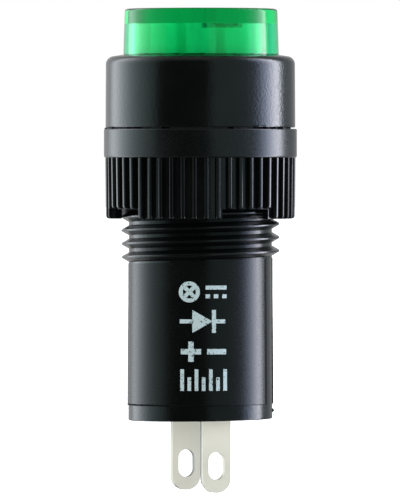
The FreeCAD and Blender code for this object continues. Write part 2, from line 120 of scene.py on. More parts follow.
class PilotLightSizes(bpy.types.PropertyGroup):
    """Sizes of the pieces that the scene models"""
    bezel_slope: length("Bezel Slope", "Fall of the bezel's top towards its edge", 0.18 * MM)
    bezel_round: length("Bezel Round", "Radius of the bezel's upper edge", 0.5 * MM)
    socket_radius: length("Socket Radius", "Radius of the lens's socket", LENS_RADIUS + 0.08 * MM)
    socket_floor: length("Socket Floor", "Height of the web under the socket", 1.0 * MM)
    recess_radius: length("Recess Radius", "Room for the gasket", GASKET_RADIUS + 0.05 * MM)
    barrel_radius: length("Barrel Radius", "Radius of the bare barrel", FILM_RADIUS - 0.05 * MM)
    barrel_flare: length("Barrel Flare", "How much wider the barrel is at its end", 0.04 * MM)
    end_lean: length("End Lean", "Rise of the barrel's end on its right side", 0.07 * MM)
    bore_radius: length("Bore Radius", "Radius of the barrel's bore", PLUG_RADIUS + 0.03 * MM)
    edge_round: length("Edge Round", "Radius of the small moulded edges", 0.06 * MM)
    thread_radius: length("Thread Radius", "Radius of its crest", GASKET_RADIUS - 0.7 * MM)
    thread_pitch: length("Thread Pitch", "Rise of the thread in one turn", 1.0 * MM)
    thread_crest: length("Thread Crest", "Width of the thread's crest", 0.13 * MM)
    thread_base: length("Thread Base", "Width of the thread at its root", 0.77 * MM)
    thread_foot: length("Thread Foot", "Height at which the thread begins", -9.72 * MM)
    thread_start: turn("Thread Start", "Azimuth at which the thread begins", 165)
    thread_turns: bpy.props.IntProperty(name="Thread Turns", default=9, min=1,
                                        description="Turns of the thread")
    hook_height: length("Hook Height", "Height of the middle of the snap hook", -21.1 * MM)
    lens_aside: length("Lens Aside", "How far the lens sits to the right", 0.05 * MM)
    lens_draft: length("Lens Draft", "How much narrower the lens is at its top", 0.11 * MM)
    lens_round: length("Lens Round", "Radius of the lens's upper edge", 0.2 * MM)
    lens_wall: length("Lens Wall", "Wall of the lens's skirt", 0.8 * MM)
    lens_slab: length("Lens Slab", "Thickness of the lens's top", 1.13 * MM)
    film_taper: length("Film Taper", "How much wider the film is at its foot", 0.055 * MM)
    film_thickness: length("Film Thickness", "Thickness of the printed film", 0.04 * MM)
    film_begin: turn("Film Begin", "Azimuth at which the film begins", -4)
    film_sweep: turn("Film Sweep", "How far the film reaches round", 339.5)
    film_top_lean: length("Film Top Lean", "Rise of its upper edge to the right", 0.2 * MM)
    film_foot_lean: length("Film Foot Lean", "Rise of its lower edge to the right", 0.05 * MM)
    nut_bore: length("Nut Bore", "Radius of the nut's bore", GASKET_RADIUS - 0.62 * MM)
    band_height: length("Band Height", "Height of the nut's plain band", 2.16 * MM)
    groove_radius: length("Groove Radius", "Radius of the grooves' floor", NUT_RADIUS - 0.55 * MM)
    rib_count: bpy.props.IntProperty(name="Rib Count", default=50, min=3,
                                     description="Ribs round the nut")
    rib_turn: turn("Rib Turn", "Azimuth of one rib", -86.3)
    rib_width: length("Rib Width", "Width of a rib", 0.3 * MM)
    rib_inset: length("Rib Inset", "How far the ribs lie inside the band", 0.1 * MM)
    rib_draft: length("Rib Draft", "How far the ribs draw in towards the foot", 0.05 * MM)
    notch_width: length("Notch Width", "Width of a notch", 4.0 * MM)
    notch_depth: length("Notch Depth", "Depth of a notch", 0.75 * MM)
    notch_turn: turn("Notch Turn", "Azimuth of one notch", -58.5)


class PilotLightColours(bpy.types.PropertyGroup):
    """Colours of the finishes"""
    moulding: colour("Moulding", "Black of the bezel and barrel", (0.0025, 0.003, 0.0028))
    nut: colour("Nut", "Black of the ring nut", (0.0035, 0.004, 0.004))
    film: colour("Film", "Black of the printed film", (0.0022, 0.0026, 0.0024))
    rubber: colour("Rubber", "Black of the gasket", (0.008, 0.008, 0.008))
    ink: colour("Ink", "Pale print on the film", (0.48, 0.585, 0.6))
    lens: colour("Lens", "Green of the clear lens", (0.03, 0.906, 0.434))
    diffuser: colour("Diffuser", "White behind the lens", (0.57, 0.6, 0.57))
    tin: colour("Tin", "Tin plating of the tabs", (0.69, 0.645, 0.525))
    floor: colour("Floor", "Pale floor", (0.86, 0.86, 0.86))


def named(piece, name):
    """Gives a piece and its mesh one name."""
    piece.name = name
    piece.data.name = name
    return piece


def copied(source, name):
    """Copy of a piece with a mesh of its own."""
    piece = source.copy()
    piece.data = source.data.copy()
    bpy.context.scene.collection.objects.link(piece)
    return named(piece, name)


def clear_selection():
    """Leaves edit mode and selects nothing."""
    if bpy.context.object and bpy.context.object.mode != "OBJECT":
        bpy.ops.object.mode_set(mode="OBJECT")
    bpy.ops.object.select_all(action="DESELECT")


def start_piece(add, name, **options):
    """Adds one primitive with nothing else selected and leaves it selected in edit mode."""
    clear_selection()
    add(**options)
    piece = named(bpy.context.object, name)
    bpy.ops.object.transform_apply(location=True, rotation=True, scale=True)
    bpy.ops.object.mode_set(mode="EDIT")
    bpy.ops.mesh.select_mode(type="VERT")
    bpy.ops.mesh.select_all(action="SELECT")
    return piece


def make_active(piece):
    """Selects one object alone in object mode."""
    clear_selection()
    bpy.context.view_layer.objects.active = piece
    piece.select_set(True)


def edit(piece):
    """Opens one object alone in edit mode with all of it selected."""
    make_active(piece)
    bpy.ops.object.mode_set(mode="EDIT")
    bpy.ops.mesh.select_all(action="SELECT")


def smooth():
    """Smooths the selected object where its faces bend gently."""
    bpy.ops.object.shade_smooth_by_angle(angle=SMOOTH_UNDER)


def close_mesh(piece):
    """Merges the doubles, turns the faces outwards and smooths what bends gently."""
    bpy.ops.mesh.select_all(action="SELECT")
    bpy.ops.mesh.remove_doubles(threshold=3 * POLE)
    bpy.ops.mesh.normals_make_consistent(inside=False)
    bpy.ops.object.mode_set(mode="OBJECT")
    smooth()
    return piece


def extrude(rise=0.0):
    """Extrudes what is selected, in place or straight up."""
    bpy.ops.mesh.extrude_region_move(TRANSFORM_OT_translate={"value": (0, 0, rise)})


def scale_round(factor, centre=(0, 0, 0), **options):
    """Scales what is selected about an upright axis."""
    bpy.ops.transform.resize(value=(factor, factor, 1), center_override=centre, **options)


def moved(piece, place=(0, 0, 0), tilt=0.0, turned_by=0.0):
    """Tilts a piece about X or turns it about Z, moves it, and keeps both in its mesh."""
    make_active(piece)
    piece.location = place
    piece.rotation_euler = (tilt, 0, turned_by)
    bpy.ops.object.transform_apply(location=True, rotation=True, scale=False)


def turned(name, outline):
    """Solid of revolution: a circle extruded ring by ring along an outline of (radius, height)."""
    radius, height = outline[0]
    piece = start_piece(bpy.ops.mesh.primitive_circle_add, name, vertices=SEGMENTS,
                        radius=max(radius, POLE), location=(0, 0, height))
    ends_on_axis = outline[-1][0] == 0
    for next_radius, next_height in outline[1:] + ([] if ends_on_axis else outline[:1]):
        extrude(next_height - height)
        scale_round(max(next_radius, POLE) / max(radius, POLE))
        radius, height = next_radius, next_height
    return close_mesh(piece)


def select(piece, test, kind="EDGE"):
    """In edit mode, selects just the edges or faces whose corners all pass a test."""
    bpy.ops.mesh.select_mode(type=kind)
    bpy.ops.mesh.select_all(action="DESELECT")
    mesh = bmesh.from_edit_mesh(piece.data)
    parts = mesh.edges if kind == "EDGE" else mesh.faces
    hits = [part for part in parts if all(test(corner.co) for corner in part.verts)]
    for part in hits:
        part.select_set(True)
    bmesh.update_edit_mesh(piece.data)
    if not hits:
        raise RuntimeError(f"{piece.name} has no such {kind.lower()}")


def round_rings(piece, rings, width, segments=4):
    """Rounds the ring edges of a turned piece at each (radius, height)."""
    edit(piece)

    def on_ring(place):
        return any(abs(place.xy.length - radius) < NEAR and abs(place.z - height) < NEAR
                   for radius, height in rings)

    select(piece, on_ring)
    bpy.ops.mesh.bevel(offset=width, segments=segments)
    return close_mesh(piece)


def lean_ring(piece, height, reach, slope):
    """Leans the points within reach of a height, so that they rise to the right by a slope."""
    edit(piece)
    select(piece, lambda place: abs(place.z - height) < reach)
    bpy.ops.transform.rotate(value=math.atan(slope), orient_axis="Y", orient_type="GLOBAL",
                             center_override=(0, 0, height))
    bpy.ops.object.mode_set(mode="OBJECT")


def drawn(name, corners, closed=True):
    """Outline in the plane of the axis, drawn from one point by (radius, height)."""
    piece = start_piece(bpy.ops.mesh.primitive_plane_add, name, size=MM)
    bpy.ops.mesh.merge(type="CENTER")
    places = [Vector((across, 0, up)) for across, up in corners]
    bpy.ops.transform.translate(value=places[0])
    for start, end in zip(places, places[1:] + (places[:1] if closed else [])):
        bpy.ops.mesh.extrude_vertices_move(TRANSFORM_OT_translate={"value": end - start})
    bpy.ops.mesh.select_all(action="SELECT")
    bpy.ops.mesh.remove_doubles(threshold=POLE)
    return piece


def block(name, low, high):
    """Box between two corners."""
    piece = start_piece(bpy.ops.mesh.primitive_cube_add, name, size=1)
    bpy.ops.transform.resize(value=Vector(high) - Vector(low))
    bpy.ops.transform.translate(value=(Vector(low) + Vector(high)) / 2)
    return piece


def apply_modifier(piece, kind, **settings):
    """Adds a modifier with its settings and applies it."""
    make_active(piece)
    modifier = piece.modifiers.new(kind.lower(), kind)
    for name, value in settings.items():
        setattr(modifier, name, value)
    bpy.ops.object.modifier_apply(modifier=modifier.name)


def cut(piece, cutter):
    """Cuts a closed cutter out of a piece and removes the cutter."""
    before = len(piece.data.vertices)
    apply_modifier(piece, "BOOLEAN", operation="DIFFERENCE", solver="EXACT", use_self=True,
                   object=cutter)
    bpy.data.objects.remove(cutter)
    if len(piece.data.vertices) == before:
        raise RuntimeError(f"{piece.name} wasn't cut")


def joined(name, pieces):
    """One piece from several."""
    make_active(pieces[0])
    for piece in pieces:
        piece.select_set(True)
    bpy.ops.object.join()
    return named(bpy.context.object, name)


def softened_copy(node, name, width=0.0):
    """Merged copy of a CAD node with its flat faces whole and its edges a little rounded."""
    piece = copied(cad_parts[node], name)
    for key in list(piece.keys()):
        del piece[key]
    piece.parent = None
    edit(piece)
    bpy.ops.mesh.remove_doubles(threshold=0.1 * POLE)
    bpy.ops.mesh.dissolve_limited(angle_limit=math.radians(1))
    bpy.ops.mesh.customdata_custom_splitnormals_clear()
    bpy.ops.object.mode_set(mode="OBJECT")
    if width:
        apply_modifier(piece, "BEVEL", width=width, segments=2, limit_method="ANGLE",
                       angle_limit=math.radians(40))
    smooth()
    return piece


def settings(scene):
    """The sizes and the colours that the sidebar shows."""
    return scene.pilot_light_sizes, scene.pilot_light_colours


def coat(piece, finish):
    """Gives a piece one finish."""
    piece.data.materials.clear()
    piece.data.materials.append(finish)


def settle(piece, body, node, finish):
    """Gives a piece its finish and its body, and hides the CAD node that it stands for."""
    coat(piece, finish)
    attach(piece, body)
    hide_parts(node)


class Nodes:
    """A node tree, built node by node."""

    def __init__(self, tree):
        self.tree = tree

    def add(self, kind, **inputs):
        """A node with its input sockets fed by name, with underscores for spaces."""
        node = self.tree.nodes.new(kind)
        for name, value in inputs.items():
            self.feed(node.inputs[name.replace("_", " ").title()], value)
        return node

    def link(self, start, end):
        """Joins an output socket to an input socket."""
        self.tree.links.new(start, end)

    def feed(self, socket, value):
        """Links an output to an input socket, or sets a number, a grey or a colour on it."""
        if isinstance(value, bpy.types.NodeSocket):
            self.link(value, socket)
        elif socket.type != "RGBA":
            socket.default_value = value
        elif isinstance(value, (int, float)):
            socket.default_value = (value, value, value, 1)
        else:
            socket.default_value = (*value, 1)

    def remap(self, value, low, high, to_low=0.0, to_high=1.0):
        """A value stretched from one range to another."""
        node = self.add("ShaderNodeMapRange", value=value, from_min=low, from_max=high,
                        to_min=to_low, to_max=to_high)
        return node.outputs["Result"]

    def math(self, operation, *values):
        """One calculation on sockets or numbers."""
        node = self.add("ShaderNodeMath")
        node.operation = operation
        for socket, value in zip(node.inputs, values):
            self.feed(socket, value)
        return node.outputs[0]

    def every(self, mask, *others):
        """Product of several masks: 1 where each of them is."""
        for other in others:
            mask = self.math("MULTIPLY", mask, other)
        return mask

    def blend(self, factor, first, second):
        """A colour between two, each a socket, a grey or a colour."""
        node = self.add("ShaderNodeMix")
        node.data_type = "RGBA"
        self.link(factor, node.inputs["Factor"])
        self.feed(node.inputs[6], first)
        self.feed(node.inputs[7], second)
        return node.outputs[2]


class Finish(Nodes):
    """A material with one Principled shader."""

    def __init__(self, name):
        self.material = bpy.data.materials.new(name)
        self.material.use_nodes = True
        super().__init__(self.material.node_tree)
        self.shader = self.tree.nodes["Principled BSDF"]
        self.output = self.tree.nodes["Material Output"]
        coordinates = self.add("ShaderNodeTexCoord").outputs
        self.place = coordinates["Object"]
        self.normal = coordinates["Normal"]

    def set(self, **values):
        """Gives the shader's own sockets constant values or what other nodes put out."""
        for name, value in values.items():
            self.feed(self.shader.inputs[name.replace("_", " ")], value)

    def noise(self, scale, detail=3.0, stretch=(1, 1, 1)):
        """Noise on the object's own coordinates."""
        mapping = self.add("ShaderNodeMapping", vector=self.place, scale=stretch)
        noise = self.add("ShaderNodeTexNoise", vector=mapping.outputs["Vector"], scale=scale,
                         detail=detail)
        return noise.outputs["Fac"]

    def spread(self, noise, low, high):
        """Noise as a value that wanders between two others."""
        return self.remap(noise, *NOISE_RANGE, low, high)

    def clouded(self, base, dark, pale, noise):
        """A colour that wanders between a darker and a lighter shade of itself."""
        return self.blend(self.remap(noise, *CLOUD_RANGE), shaded(base, dark),
                          shaded(base, pale))

    def along(self, direction, vector=None):
        """Share of a vector in a direction: of the place on the object, or else as given."""
        node = self.add("ShaderNodeVectorMath")
        node.operation = "DOT_PRODUCT"
        self.link(vector or self.place, node.inputs[0])
        node.inputs[1].default_value = direction
        return node.outputs["Value"]

    def mask(self, direction, low, high):
        """Value that rises from 0 at one place to 1 at another in a direction."""
        return self.remap(self.along(direction), low, high)

    def ragged_height(self, scale, reach):
        """Height that noise shifts up and down by a reach."""
        return self.math("ADD", self.along(UP), self.spread(self.noise(scale), -reach, reach))

    def bump(self, height, depth):
        """Relief from a height between 0 and 1, over a depth in metres."""
        node = self.add("ShaderNodeBump", height=height, distance=depth)
        self.set(Normal=node.outputs["Normal"])


def shaded(base, factor):
    """A colour made darker or lighter by a factor."""
    return tuple(min(part * factor, 1.0) for part in base)


def moulded_black(name, base, roughness, grain, relief, dull_above=None):
    """Satin moulded plastic: fine grain that breaks its highlights, and faint cloudiness."""
    finish = Finish(name)
    fine = finish.noise(grain)
    rough = finish.spread(fine, *roughness)
    if dull_above is not None:
        dull = finish.remap(finish.along(UP), dull_above - NEAR, dull_above + NEAR, 1, 1.9)
        rough = finish.every(rough, dull)
    finish.bump(fine, relief)
    # Painted shade: the thread's root reflects less, its Specular Tint cut to 0.45, in place of
    # the shade between the turns. The reflection also weakens towards the barrel's foot, to 0.62.
    squares = [finish.math("POWER", finish.along(axis), 2) for axis in (RIGHT, NEARER)]
    radius = finish.math("POWER", finish.math("ADD", *squares), 0.5)
    painted_root_shade = finish.every(finish.remap(radius, FILM_RADIUS + 0.2 * MM, FILM_RADIUS),
                               finish.mask(UP, FILM_TOP - 0.1 * MM, FILM_TOP))
    sheen = finish.blend(finish.mask(UP, FILM_FOOT, FILM_TOP), 0.62, 1)
    sheen = finish.blend(painted_root_shade, sheen, 0.45)
    chips = finish.every(finish.remap(finish.noise(2600), 0.5, 0.56),
                         finish.mask(UP, 0.24 * MM, 0.1 * MM),
                         finish.mask(UP, -0.05 * MM, 0),
                         finish.mask(RIGHT, 3.4 * MM, 4.0 * MM))
    finish.set(Base_Color=finish.clouded(base, 0.7, 1.3, finish.noise(260)), Roughness=rough,
               Specular_Tint=finish.blend(chips, sheen, 0.08), IOR=1.55)
    return finish.material


def green_clear(base):
    """Clear green moulding, darker the further light travels through it."""
    finish = Finish("green_clear_plastic")
    fine = finish.noise(900, 2, (1, 1, 0.15))
    streak = finish.every(finish.mask(RIGHT, 0.16 * MM, 0.3 * MM),
                          finish.mask(RIGHT, 0.5 * MM, 0.4 * MM),
                          finish.mask(UP, LENS_TOP - 1.1 * MM, LENS_TOP - 1.0 * MM))
    clear = finish.blend(streak, finish.clouded(base, 0.94, 1.06, fine), shaded(base, 0.8))
    # Painted shade: a ragged dark green line at the lens's foot, where it enters the bezel's
    # socket.
    foot = finish.remap(finish.ragged_height(2500, 0.05 * MM), BEZEL_TOP + 0.08 * MM,
                        BEZEL_TOP + 0.03 * MM)
    # Painted shade on the reflection: the slab's Specular Tint is cut to 0.18 and 0.1, and the
    # wall's to 0.55 near its right edge, to dim the highlights there.
    slab = finish.mask(UP, LENS_TOP - 1.2 * MM, LENS_TOP - 1.1 * MM)
    right = finish.mask(RIGHT, 3.2 * MM, 4.2 * MM)
    sheen = finish.blend(slab, finish.blend(right, 1, 0.55), finish.blend(right, 0.18, 0.1))
    finish.set(Base_Color=finish.blend(foot, clear, (0, 0.05, 0.015)),
               Roughness=finish.spread(fine, 0.02, 0.07), Specular_Tint=sheen, IOR=1.49,
               Transmission_Weight=1.0)
    volume = finish.add("ShaderNodeVolumeAbsorption", color=(0, 0.614, 0.315), density=260)
    finish.link(volume.outputs["Volume"], finish.output.inputs["Volume"])
    return finish.material


def milky_white(base):
    """Milky diffuser with faint cloudiness, a dark band under the lower stretch of its rim, and
    painted light on its sides.
    """
    finish = Finish("milky_diffuser")
    rim_band_mask = finish.every(finish.remap(finish.ragged_height(3000, 0.04 * MM),
                                      DIFFUSER_TOP - 0.36 * MM, DIFFUSER_TOP - 0.32 * MM),
                         finish.mask(RIGHT, 0.1 * MM, 0.16 * MM),
                         finish.mask(RIGHT, 3.0 * MM, 2.9 * MM),
                         finish.mask(NEARER, 3.0 * MM, 3.1 * MM))
    rim_band_colour = finish.blend(finish.mask(RIGHT, 0.5 * MM, 0.4 * MM), (0.5, 0.36, 0.2),
                        (0.12, 0.1, 0.05))
    # Painted light: the diffuser is painted 1.2 times lighter away from its middle and 1.5 times
    # lighter far on its left, as if lit more from the sides.
    aside = finish.math("ABSOLUTE", finish.along(RIGHT))
    milk = finish.clouded(base, 0.92, 1.04, finish.noise(700))
    milk = finish.blend(finish.remap(aside, 0.7 * MM, 1.8 * MM), milk, shaded(base, 1.2))
    milk = finish.blend(finish.mask(RIGHT, -3.2 * MM, -3.8 * MM), milk, shaded(base, 1.5))
    finish.set(Base_Color=finish.blend(rim_band_mask, milk, rim_band_colour), Roughness=0.12)
    return finish.material


def edged_film(base, end):
    """Printed film: satin black, with dull black lines of painted shade at its end and along its
    foot, for the gaps there.
    """
    finish = Finish("film_black")
    past_end = (-math.sin(end), math.cos(end), 0)
    towards_end = (math.cos(end), math.sin(end), 0)
    # Painted shade: black lines stand in for the shade in the gap at the film's end and under its
    # foot.
    end_gap_shade = finish.every(finish.mask(past_end, -0.37 * MM, -0.35 * MM),
                            finish.mask(past_end, 0.2 * MM, 0.1 * MM),
                            finish.mask(towards_end, 4.9 * MM, 5.0 * MM))
    foot_gap_shade = finish.remap(finish.ragged_height(2500, 0.03 * MM), FILM_FOOT + 0.1 * MM,
                             FILM_FOOT + 0.08 * MM)
    line = finish.math("MAXIMUM", end_gap_shade, foot_gap_shade)
    fine = finish.noise(6500)
    finish.bump(fine, 0.004 * MM)
    satin = finish.clouded(base, 0.8, 1.25, finish.noise(300))
    # Painted shade on the reflection: the film's Specular Tint falls to 0.78 on its left, to dim
    # the highlight there.
    finish.set(Base_Color=finish.blend(line, satin, 0.001),
               Roughness=finish.math("MAXIMUM", finish.spread(fine, 0.22, 0.3), line),
               Specular_Tint=finish.blend(finish.mask(RIGHT, -3 * MM, 0), 0.78, 1), IOR=1.42)
    return finish.material


def pale_ink(base, under):
    """Pale print with pinholes that show the film."""
    finish = Finish("pale_ink")
    pinholes = finish.remap(finish.noise(7500, 4), 0.60, 0.66)
    finish.set(Base_Color=finish.blend(pinholes, base, under), Roughness=0.6)
    return finish.material


def tinned(name, base, facing, depth, side, eye):
    """Dull tin plating with drawn grain and faint tints, painted lighter towards its top, with
    painted shade on its sheared edges and on its eye's walls.
    """
    finish = Finish(name)
    warm = finish.clouded(base, 0.93, 1.05, finish.noise(330))
    cooler = (base[0] * 0.92, base[1] * 0.98, base[2])
    plate = finish.blend(finish.remap(finish.noise(210, 2, (1, 1, 0.5)), 0.5, 0.75), warm, cooler)
    # Painted light: the plating is painted 1.34 times lighter towards the top of the tab, against
    # the shade under the barrel.
    plate = finish.blend(finish.mask(UP, EYE_HEIGHT, BARREL_END), plate, shaded(base, 1.34))
    # Painted shade: the sheared edges are painted darker, and a strip at the rear of them, above
    # the tab's rounded foot, is painted as the shadow between the tabs (side); the eye's walls
    # take their own painted tone (eye), dark shade in the rear tab.
    flatness = finish.math("ABSOLUTE", finish.along(facing, finish.normal))
    back = finish.every(finish.mask(facing, depth, depth - 0.04 * MM),
                        finish.mask(UP, -26.6 * MM, -26.4 * MM))
    edge = finish.blend(back, shaded(base, 0.75), shaded(base, side))
    aside = finish.math("ABSOLUTE", finish.along((-facing.y, facing.x, 0)))
    edge = finish.blend(finish.remap(aside, 0.9 * MM, 0.8 * MM), edge, shaded(base, eye))
    grain = finish.noise(6000, 2, (1, 1, 0.08))
    finish.bump(grain, 0.003 * MM)
    finish.set(Base_Color=finish.blend(finish.remap(flatness, 0.8, 0.6), plate, edge),
               Roughness=finish.spread(grain, 0.36, 0.48), Metallic=0.15)
    return finish.material


def plain_finish(name, base, roughness, metallic, transmission):
    """Finish of a hidden piece: its colour with a little grain."""
    finish = Finish(name)
    grain = finish.noise(4000, 2)
    finish.set(Base_Color=finish.clouded(base, 0.88, 1.08, finish.noise(900)),
               Roughness=finish.spread(grain, roughness * 0.85, roughness * 1.15),
               Metallic=metallic, Transmission_Weight=transmission)
    return finish.material


def thread_ridge(sizes):
    """Helical ridge of the thread, faded out over its first stretch."""
    crest = sizes.thread_radius
    inside = sizes.barrel_radius - 0.1 * MM
    slope = (sizes.thread_base - sizes.thread_crest) / 2 / (crest - sizes.barrel_radius)
    half = sizes.thread_crest / 2
    soft = 0.05 * MM
    upper = [
        (crest, half * 0.45),
        (crest - soft * 0.25, half),
        (crest - soft, half + slope * soft),
        (inside, half + slope * (crest - inside)),
    ]
    lower = [(across, -up) for across, up in reversed(upper)]
    ridge = drawn("thread_ridge", lower + upper)
    apply_modifier(ridge, "SCREW", axis="Z", angle=math.tau, screw_offset=sizes.thread_pitch,
                   iterations=sizes.thread_turns, steps=96, render_steps=96)
    bpy.ops.object.mode_set(mode="EDIT")
    for shrink, reach, connected in ((inside / crest, 1.4 * MM, True),
                                     (0.985, 2.5 * sizes.thread_pitch, False)):
        select(ridge, lambda place: abs(place.y) < NEAR and place.x > 0
               and place.z < sizes.thread_pitch / 2)
        scale_round(shrink, use_proportional_edit=True, proportional_size=reach,
                    proportional_edit_falloff="LINEAR", use_proportional_connected=connected)
    bpy.ops.mesh.select_all(action="SELECT")
    bpy.ops.mesh.fill_holes(sides=0)
    close_mesh(ridge)
    moved(ridge, (0, 0, sizes.thread_foot), turned_by=sizes.thread_start)
    return ridge


class PILOT_OT_housing(bpy.types.Operator):
    """Models the bezel, the lens socket and the threaded barrel in one moulding"""
    bl_idname = "pilot.housing"
    bl_label = "Housing"

    def execute(self, context):
        sizes, colours = settings(context.scene)
        edge = BEZEL_TOP - sizes.bezel_slope
        edge_radius = BEZEL_RADIUS - 0.03 * MM
        end_radius = sizes.barrel_radius + sizes.barrel_flare
        core = turned("bezel_and_barrel", [
            (sizes.socket_radius, BEZEL_TOP),
            (edge_radius, edge),
            (BEZEL_RADIUS, 0),
            (sizes.recess_radius, 0),
            (sizes.recess_radius, GASKET_TOP),
            (sizes.barrel_radius, GASKET_TOP),
            (sizes.barrel_radius, sizes.thread_foot),
            (end_radius, BARREL_END),
            (sizes.bore_radius, BARREL_END),
            (sizes.bore_radius, sizes.socket_floor),
            (sizes.socket_radius, sizes.socket_floor),
        ])
        round_rings(core, [(edge_radius, edge)], sizes.bezel_round, 8)
        round_rings(core, [(end_radius, BARREL_END), (BEZEL_RADIUS, 0)], sizes.edge_round * 1.5)
        round_rings(core, [(sizes.socket_radius, BEZEL_TOP)], sizes.edge_round, 3)
        half = 0.38 * MM
        rise = 0.215 * MM
        window = block("window", (sizes.bore_radius - 0.2 * MM, -half, sizes.hook_height - rise),
                       (BEZEL_RADIUS, half, sizes.hook_height + rise))
        cut(core, window)
        lean_ring(core, BARREL_END, 0.15 * MM, sizes.end_lean / end_radius)
        smooth()
        housing = joined("moulded_housing", [core, thread_ridge(sizes)])
        settle(housing, LIGHT, "housing",
               moulded_black("moulding_black", colours.moulding, (0.14, 0.23), 5200, 0.014 * MM))
        return {"FINISHED"}


class PILOT_OT_lens(bpy.types.Operator):
    """Models the clear green lens"""
    bl_idname = "pilot.lens"
    bl_label = "Lens"

    def execute(self, context):
        sizes, colours = settings(context.scene)
        top_radius = LENS_RADIUS - sizes.lens_draft
        inside = LENS_RADIUS - sizes.lens_wall
        lens = turned("green_lens", [
            (0, LENS_TOP),
            (top_radius * 0.5, LENS_TOP),
            (top_radius, LENS_TOP),
            (LENS_RADIUS, BEZEL_TOP),
            (LENS_RADIUS, LENS_FOOT),
            (inside, LENS_FOOT),
            (inside, LENS_TOP - sizes.lens_slab),
            (inside * 0.5, LENS_TOP - sizes.lens_slab),
            (0, LENS_TOP - sizes.lens_slab),
        ])
        round_rings(lens, [(top_radius, LENS_TOP)], sizes.lens_round, 6)
        moved(lens, (sizes.lens_aside, 0, 0))
        settle(lens, LIGHT, "lens", green_clear(colours.lens))
        return {"FINISHED"}


class PILOT_OT_diffuser(bpy.types.Operator):
    """Smooths the milky diffuser under the lens"""
    bl_idname = "pilot.diffuser"
    bl_label = "Diffuser"

    def execute(self, context):
        colours = context.scene.pilot_light_colours
        cup = softened_copy("diffuser", "milky_cup")
        settle(cup, LIGHT, "diffuser", milky_white(colours.diffuser))
        return {"FINISHED"}


def film_sheet(sizes):
    """Film spun round the barrel from one upright line, wider and leaning at its foot."""
    inside = FILM_RADIUS - sizes.film_thickness
    top = FILM_TOP - 0.16 * MM
    middle = (FILM_FOOT + top) / 2
    sheet = drawn("wrapped_film", [
        (inside, top),
        (inside, (middle + top) / 2),
        (inside + sizes.film_taper * 0.5, middle),
        (inside + sizes.film_taper * 0.8, (FILM_FOOT + middle) / 2),
        (inside + sizes.film_taper, FILM_FOOT),
    ], closed=False)
    moved(sheet, turned_by=sizes.film_begin)
    edit(sheet)
    bpy.ops.mesh.spin(steps=SEGMENTS, angle=sizes.film_sweep, center=(0, 0, 0), axis=(0, 0, -1))
    close_mesh(sheet)
    lean_ring(sheet, top, NEAR, sizes.film_top_lean / FILM_RADIUS)
    lean_ring(sheet, FILM_FOOT, NEAR, sizes.film_foot_lean / FILM_RADIUS)
    apply_modifier(sheet, "SOLIDIFY", thickness=sizes.film_thickness, offset=1)
    smooth()
    return sheet


def mark_bar(across, up, width, height, tilt=0):
    """Printed bar, flat, with its middle at a place on the print."""
    bar = start_piece(bpy.ops.mesh.primitive_plane_add, "bar", size=MM)
    bpy.ops.transform.resize(value=(width, height, 1))
    bpy.ops.transform.rotate(value=math.radians(tilt), orient_axis="Z",
                             center_override=(0, 0, 0))
    bpy.ops.transform.translate(value=(across * MM, up * MM, 0))
    return bar


def mark_ring(across, up, radius, width):
    """Printed ring, flat, with its middle at a place on the print."""
    ring = start_piece(bpy.ops.mesh.primitive_circle_add, "ring", vertices=48,
                       radius=radius * MM, location=(across * MM, up * MM, 0))
    extrude()
    scale_round(1 - width / radius, (across * MM, up * MM, 0))
    return ring


def mark_arrow(across, up, width, height):
    """Printed triangle, flat, that points to the right."""
    arrow = start_piece(bpy.ops.mesh.primitive_circle_add, "arrow", vertices=3, radius=MM,
                        fill_type="NGON", rotation=(0, 0, -math.pi / 2))
    bpy.ops.transform.resize(value=(width / 1.5, height / math.sqrt(3), 1),
                             center_override=(0, 0, 0))
    bpy.ops.transform.translate(value=(across * MM, up * MM, 0))
    return arrow


# Printed bars: middle across and up, width and height in millimetres, and tilt in degrees
STROKE = 0.3
BARS = (
    (-0.82, -12.18, 1.1, STROKE, 45),
    (-0.82, -12.18, 1.1, STROKE, -45),
    (1.16, -11.86, 1.55, STROKE),
    (0.55, -12.5, 0.33, STROKE),
    (1.16, -12.5, 0.33, STROKE),
    (1.77, -12.5, 0.33, STROKE),
    (-1.08, -14.36, 0.9, STROKE),
    (1.0, -14.36, STROKE, 1.7),
    (1.48, -14.36, 0.7, STROKE),
    (-0.7, -16.6, 1.5, 0.4),
    (-0.7, -16.6, 0.4, 1.5),
    (1.2, -16.6, 1.4, 0.4),
)


def film_print(film):
    """Generic pictograms printed on the film: a lamp, direct current, a diode and its poles."""
    marks = [mark_ring(-0.82, -12.18, 0.78, STROKE), mark_arrow(-0.1, -14.36, 1.5, 1.7)]
    marks += [mark_bar(*bar) for bar in BARS]
    for number in range(7):
        rise = 1.0 if number % 2 else 1.6
        marks.append(mark_bar(-1.35 + 0.53 * number, -19.5 + rise / 2, 0.27, rise))
    print_piece = joined("film_print", marks)
    edit(print_piece)
    for step in range(-6, 9):
        bpy.ops.mesh.select_all(action="SELECT")
        bpy.ops.mesh.bisect(plane_co=(step * 0.28 * MM, 0, 0), plane_no=(1, 0, 0))
    moved(print_piece, (0, -BEZEL_RADIUS, 0), tilt=math.pi / 2)
    apply_modifier(print_piece, "SHRINKWRAP", target=film, wrap_method="PROJECT",
                   wrap_mode="ABOVE_SURFACE", use_project_y=True,
                   use_positive_direction=True, use_negative_direction=False,
                   offset=0.004 * MM)
    apply_modifier(print_piece, "SOLIDIFY", thickness=0.008 * MM, offset=0)
    return print_piece


